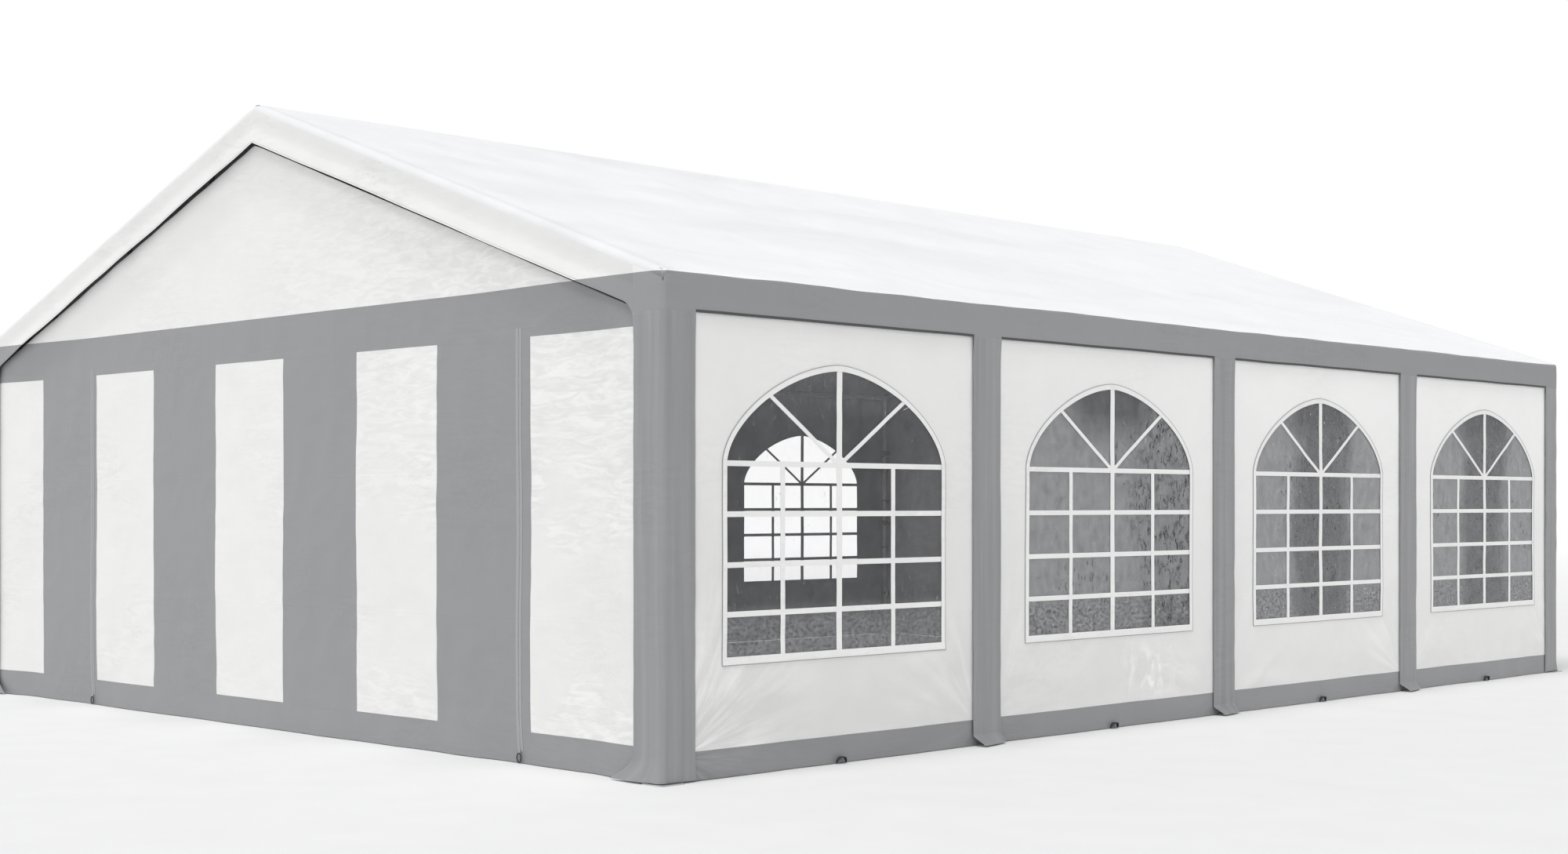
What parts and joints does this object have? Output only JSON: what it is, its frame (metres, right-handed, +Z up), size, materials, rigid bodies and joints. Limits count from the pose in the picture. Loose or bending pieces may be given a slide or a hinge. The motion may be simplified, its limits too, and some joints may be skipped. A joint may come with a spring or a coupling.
{
  "type": "marquee tent",
  "caption": "Gabled party marquee with a steel tube frame, white roof cover, grey valance and leg covers, arched-window side walls and striped zip-door ends.",
  "frame": {"origin": "centre of the plan on the ground", "axes": "+Z up, +Y along the ridge towards the back gable, +X towards the long side on the picture's right"},
  "size_m": [6.14, 8.05, 3.085],
  "materials": {
    "galvanised_steel": "matt zinc-coated tube with pressed plug-in fittings",
    "white_sheet": "satin polyethylene tarpaulin, lightly creased",
    "grey_sheet": "satin grey polyethylene tarpaulin",
    "clear_film": "flexible clear vinyl film, slightly wavy"
  },
  "bodies": {
    "root": {"leg_right_1": "galvanised_steel", "leg_right_2": "galvanised_steel", "leg_right_3": "galvanised_steel", "leg_right_4": "galvanised_steel", "leg_right_5": "galvanised_steel", "rafter_right_1": "galvanised_steel", "rafter_right_2": "galvanised_steel", "rafter_right_3": "galvanised_steel", "rafter_right_4": "galvanised_steel", "rafter_right_5": "galvanised_steel", "eave_rail_right": "galvanised_steel", "apron_right": "grey_sheet", "side_wall_right_front": "white_sheet", "side_wall_right_back": "white_sheet", "window_right_1": "clear_film", "window_right_2": "clear_film", "window_right_3": "clear_film", "window_right_4": "clear_film", "leg_left_1": "galvanised_steel", "leg_left_2": "galvanised_steel", "leg_left_3": "galvanised_steel", "leg_left_4": "galvanised_steel", "leg_left_5": "galvanised_steel", "rafter_left_1": "galvanised_steel", "rafter_left_2": "galvanised_steel", "rafter_left_3": "galvanised_steel", "rafter_left_4": "galvanised_steel", "rafter_left_5": "galvanised_steel", "eave_rail_left": "galvanised_steel", "apron_left": "grey_sheet", "side_wall_left_front": "white_sheet", "side_wall_left_back": "white_sheet", "window_left_1": "clear_film", "window_left_2": "clear_film", "window_left_3": "clear_film", "window_left_4": "clear_film", "ridge_rail": "galvanised_steel", "roof_cover": "white_sheet", "gable_wall_front": "white_sheet", "door_front": "white_sheet", "gable_flap_front": "white_sheet", "gable_wall_back": "white_sheet", "door_back": "white_sheet", "gable_flap_back": "white_sheet"}
  },
  "joints": []
}
